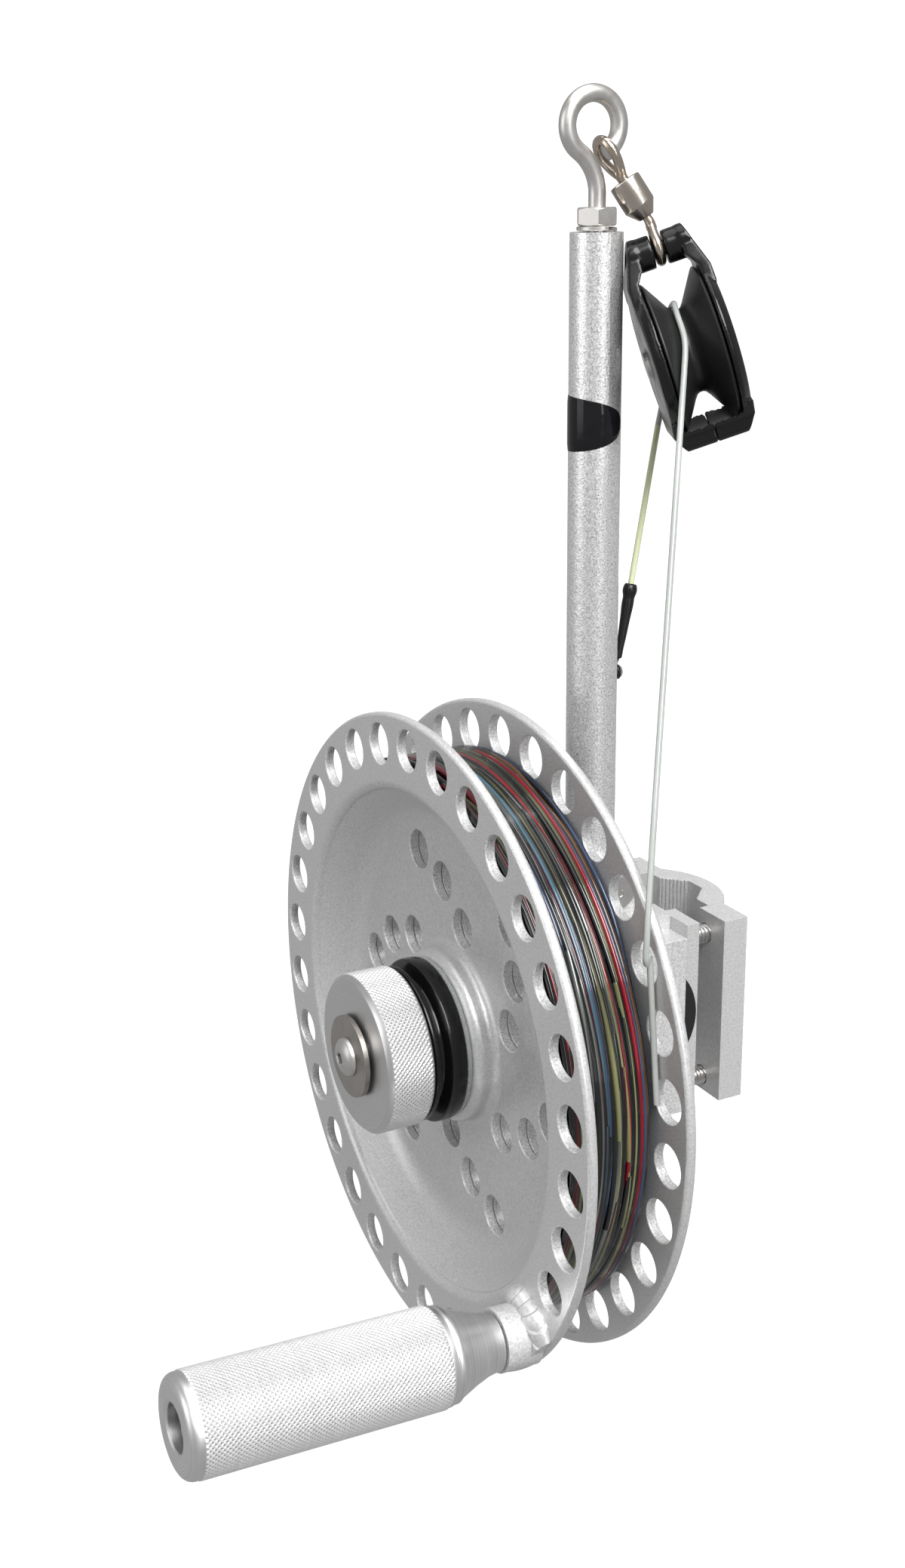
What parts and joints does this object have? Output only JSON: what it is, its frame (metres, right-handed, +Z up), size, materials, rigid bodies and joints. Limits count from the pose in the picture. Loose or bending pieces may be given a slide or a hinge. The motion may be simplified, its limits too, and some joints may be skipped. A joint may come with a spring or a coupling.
{
  "type": "planer board reel",
  "caption": "Hand-cranked line reel on a rail clamp, with a holed two-flange spool, drag knob, mast, eyebolt, swivel and pulley block.",
  "frame": {"origin": "centre of the gripped rail, midway between the clamp's jaws", "axes": "+Z up along the rail and the mast, the spool's axle along Y with the crank side towards -Y, +X to the right seen from the crank side"},
  "size_m": [0.2096, 0.2219, 0.39],
  "materials": {
    "powder_coat": "satin, fine bead texture",
    "bright_aluminium": "machined and knurled, bright",
    "stainless": "polished stainless steel",
    "black_plastic": "glossy moulded black",
    "clear_plastic": "clear, slightly frosted",
    "bronze": "sintered bronze",
    "plated_brass": "nickel over brass, worn warm",
    "wound_line": "glossy monofilament in red, black, olive, blue and clear",
    "clear_line": "glossy, nearly clear monofilament",
    "label_black": "gloss vinyl, plain"
  },
  "bodies": {
    "mount": {"mast_block": "powder_coat", "mast": "powder_coat", "mast_bolt": "stainless", "mast_bolt_nut": "stainless", "eyebolt": "stainless", "eyebolt_nut": "stainless", "lock_washer": "stainless", "mast_label": "label_black", "inner_jaw": "powder_coat", "jaw_pad": "black_plastic", "clamp_bolts": "stainless", "clamp_washers": "stainless", "axle": "stainless", "axle_nut": "stainless", "axle_spacer": "stainless", "thrust_washer": "stainless", "friction_washer": "clear_plastic", "fender_washer": "stainless", "end_screw": "stainless", "line_up": "clear_line", "line_down": "clear_line", "line_sleeve": "black_plastic", "line_snap": "black_plastic", "line_keeper": "stainless"},
    "clamp_jaw": {"outer_jaw": "powder_coat"},
    "brake": {"brake_disc": "black_plastic"},
    "knob": {"drag_knob": "bright_aluminium"},
    "spool": {"front_dish": "powder_coat", "rear_dish": "powder_coat", "hub_bushings": "bronze", "line_core": "wound_line", "line_winding": "wound_line", "handle_stub": "bright_aluminium", "weld_bead": "bright_aluminium", "handle_bolt": "stainless"},
    "hand_grip": {"handle_cone": "bright_aluminium", "grip": "bright_aluminium"},
    "swivel_eye": {"swivel_eye_top": "plated_brass"},
    "swivel": {"swivel_barrel": "plated_brass", "swivel_eye_bottom": "plated_brass"},
    "block": {"left_cheek": "black_plastic", "right_cheek": "black_plastic", "core_pin": "black_plastic", "sheave_pin": "stainless", "line_over": "clear_line"},
    "wheel": {"sheave": "black_plastic"}
  },
  "joints": [
    {"name": "spool_spin", "type": "hinge", "parent": "mount", "child": "spool", "pos_m": [0, -0.07235, 0], "axis": [0, -1, 0], "continuous": true},
    {"name": "grip_spin", "type": "hinge", "parent": "spool", "child": "hand_grip", "pos_m": [0.07102, -0.08995, -0.06485], "axis": [0, -0.999, 0.0454], "continuous": true},
    {"name": "drag_turn", "type": "hinge", "parent": "brake", "child": "knob", "pos_m": [0, -0.07235, 0], "axis": [0, -1, 0], "range_deg": [0, 160]},
    {"name": "drag_travel", "type": "slide", "parent": "mount", "child": "brake", "axis": [0, -1, 0], "range_m": [0, 0.000868]},
    {"name": "jaw_slide", "type": "slide", "parent": "mount", "child": "clamp_jaw", "axis": [0, 1, 0], "range_m": [-0.008, 0.008]},
    {"name": "swivel_swing", "type": "hinge", "parent": "mount", "child": "swivel_eye", "pos_m": [0, -0.02355, 0.26647], "axis": [0, -0.866, -0.5], "range_deg": [0, 40], "deforming": ["line_up", "line_down"]},
    {"name": "swivel_twist", "type": "hinge", "parent": "swivel_eye", "child": "swivel", "pos_m": [0, -0.02355, 0.26647], "axis": [0.3045, 0.4648, -0.8314], "range_deg": [-12, 12], "deforming": ["line_up", "line_down"]},
    {"name": "block_swing", "type": "hinge", "parent": "swivel", "child": "block", "pos_m": [0.0083, -0.0104, 0.23931], "axis": [0.4364, 0.8419, 0.3173], "range_deg": [-12, 12], "deforming": ["line_up", "line_down"]},
    {"name": "sheave_spin", "type": "hinge", "parent": "block", "child": "wheel", "pos_m": [0.01279, -0.00173, 0.2101], "axis": [0.4364, 0.8419, 0.3173], "continuous": true}
  ],
  "couplings": [
    {"joint": "sheave_spin", "follows": "spool_spin", "ratio": -6.586},
    {"joint": "drag_turn", "follows": "drag_travel", "rad_per_m": 3215.5}
  ]
}
